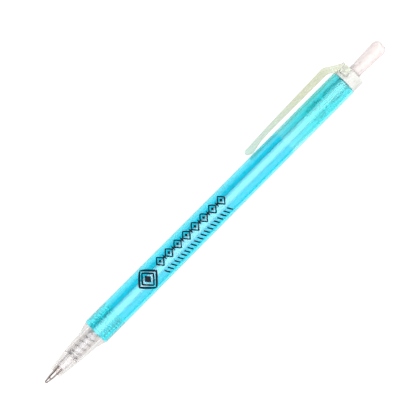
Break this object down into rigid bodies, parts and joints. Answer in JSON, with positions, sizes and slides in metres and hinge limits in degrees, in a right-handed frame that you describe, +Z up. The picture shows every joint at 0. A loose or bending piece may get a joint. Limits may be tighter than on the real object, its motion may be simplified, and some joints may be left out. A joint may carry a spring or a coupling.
{
  "type": "retractable gel pen",
  "caption": "Slim click gel pen with a translucent aqua barrel, clear nose cone and clip, frosted push button and a spring-loaded gel refill.",
  "frame": {"origin": "centre of the bounding box in X and Y, on the surface that the pen lies on", "axes": "+X along the pen's axis from the writing tip to the push button, +Z up from the table, the clip on the +Y side"},
  "size_m": [0.142, 0.012, 0.0087],
  "materials": {
    "barrel_aqua": "translucent, faintly frosted",
    "nose_clear": "clear, polished",
    "cap_frosted": "frosted, translucent",
    "clip_clear": "clear, polished",
    "button_frosted": "frosted",
    "rotor_dark": "satin",
    "spring_steel": "drawn wire",
    "tube_milky": "milky",
    "holder_white": "satin",
    "tip_metal": "turned",
    "carbide": "polished",
    "hair_spring_steel": "drawn wire",
    "ink": "wet",
    "grease": "wet, clear",
    "plug_white": "satin"
  },
  "bodies": {
    "barrel": {"barrel": "barrel_aqua", "end_cap": "cap_frosted"},
    "button": {"plunger": "button_frosted"},
    "refill": {"refill_tube": "tube_milky", "tip_holder": "holder_white", "tip_cone": "tip_metal", "ball_spring": "hair_spring_steel", "gel_ink": "ink", "grease_follower": "grease", "tail_plug": "plug_white"},
    "rotor": {"cam_rotor": "rotor_dark"},
    "ball": {"tip_ball": "carbide"},
    "clip": {"clip": "clip_clear"},
    "spring": {"return_spring": "spring_steel"},
    "nose": {"nose_cone": "nose_clear"}
  },
  "joints": [
    {"name": "click_slide", "type": "slide", "parent": "barrel", "child": "button", "axis": [1, 0, 0], "range_m": [-0.0012, 0.005]},
    {"name": "refill_slide", "type": "slide", "parent": "barrel", "child": "refill", "axis": [1, 0, 0], "range_m": [-0.0012, 0.005], "deforming": ["return_spring"]},
    {"name": "rotor_turn", "type": "hinge", "parent": "refill", "child": "rotor", "pos_m": [0.043, -0.00164, 0.00434], "axis": [1, 0, 0], "range_deg": [-10.8, 45]},
    {"name": "ball_roll", "type": "hinge", "parent": "refill", "child": "ball", "pos_m": [-0.07065, -0.00164, 0.00434], "axis": [0, 0.3281, 0.9446], "continuous": true},
    {"name": "clip_flex", "type": "hinge", "parent": "barrel", "child": "clip", "pos_m": [0.0586, 0.00251, 0.0029], "axis": [0, -0.3281, -0.9446], "range_deg": [0, 4], "stiffness_Nm_per_rad": 2},
    {"name": "nose_advance", "type": "slide", "parent": "barrel", "child": "spring", "axis": [1, 0, 0], "range_m": [-0.009, 0]},
    {"name": "nose_turn", "type": "hinge", "parent": "spring", "child": "nose", "pos_m": [-0.04965, -0.00164, 0.00434], "axis": [1, 0, 0], "range_deg": [-3240, 0]}
  ],
  "couplings": [
    {"joint": "refill_slide", "follows": "click_slide", "ratio": 1},
    {"joint": "rotor_turn", "follows": "click_slide", "rad_per_m": 157.08},
    {"joint": "nose_turn", "follows": "nose_advance", "rad_per_m": 6283.2}
  ]
}
